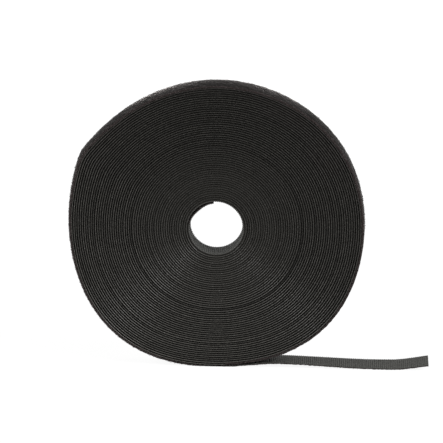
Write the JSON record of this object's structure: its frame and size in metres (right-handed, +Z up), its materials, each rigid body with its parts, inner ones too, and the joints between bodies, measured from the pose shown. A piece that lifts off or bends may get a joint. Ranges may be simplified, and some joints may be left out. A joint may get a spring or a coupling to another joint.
{
  "type": "hook and loop tape roll",
  "caption": "Coreless roll of black back-to-back hook and loop tape, standing on its rim with a free tail on the floor.",
  "frame": {"origin": "on the floor under the roll's axis, at the middle of the tape's width, on the flat that the roll stands on", "axes": "+X along the tail, +Y across the tape away from the viewer (the roll's axis), +Z up"},
  "size_m": [0.295, 0.02, 0.2377],
  "materials": {
    "hook_strip": "woven nylon strip with rows of fine hooks, dark grey, slightly shiny",
    "loop_strip": "knitted nylon strip with a brushed loop pile, black with a brown cast, matt",
    "wound_edge": "edges of the wound turns, black, fine ribs"
  },
  "bodies": {
    "roll": {"inner_turns": "wound_edge", "winding_hook": "hook_strip", "winding_loop": "loop_strip", "start_turn_hook": "hook_strip", "start_turn_loop": "loop_strip"},
    "start_flap": {"start_flap_hook": "hook_strip", "start_flap_loop": "loop_strip"},
    "tail_1": {"tail_1_hook": "hook_strip", "tail_1_loop": "loop_strip"},
    "tail_2": {"tail_2_hook": "hook_strip", "tail_2_loop": "loop_strip"},
    "tail_3": {"tail_3_hook": "hook_strip", "tail_3_loop": "loop_strip"},
    "tail_4": {"tail_4_hook": "hook_strip", "tail_4_loop": "loop_strip"},
    "tail_5": {"tail_5_hook": "hook_strip", "tail_5_loop": "loop_strip"},
    "tail_6": {"tail_6_hook": "hook_strip", "tail_6_loop": "loop_strip"}
  },
  "joints": [
    {"name": "tail_1_bend", "type": "hinge", "parent": "roll", "child": "tail_1", "pos_m": [0.02174, 0, 0.00145], "axis": [0, -1, 0], "range_deg": [0, 2], "stiffness_Nm_per_rad": 0.005},
    {"name": "tail_2_bend", "type": "hinge", "parent": "tail_1", "child": "tail_2", "pos_m": [0.0474, 0, 0.00366], "axis": [0, -1, 0], "range_deg": [0, 24.5], "stiffness_Nm_per_rad": 0.005},
    {"name": "tail_3_bend", "type": "hinge", "parent": "tail_2", "child": "tail_3", "pos_m": [0.07319, 0, 0.00329], "axis": [0, -1, 0], "range_deg": [0, 14], "stiffness_Nm_per_rad": 0.005},
    {"name": "tail_4_bend", "type": "hinge", "parent": "tail_3", "child": "tail_4", "pos_m": [0.0989, 0, 0.00202], "axis": [0, -1, 0], "range_deg": [0, 14], "stiffness_Nm_per_rad": 0.005},
    {"name": "tail_5_bend", "type": "hinge", "parent": "tail_4", "child": "tail_5", "pos_m": [0.1246, 0, 0.00093], "axis": [0, -1, 0], "range_deg": [0, 10.5], "stiffness_Nm_per_rad": 0.005},
    {"name": "tail_6_bend", "type": "hinge", "parent": "tail_5", "child": "tail_6", "pos_m": [0.15026, 0, 0.00096], "axis": [0, -1, 0], "range_deg": [-7.5, 4.5], "stiffness_Nm_per_rad": 0.005},
    {"name": "start_flap_peel", "type": "hinge", "parent": "roll", "child": "start_flap", "pos_m": [-0.01827, 0, 0.1287], "axis": [0, 1, 0], "range_deg": [0, 45], "stiffness_Nm_per_rad": 0.005}
  ]
}
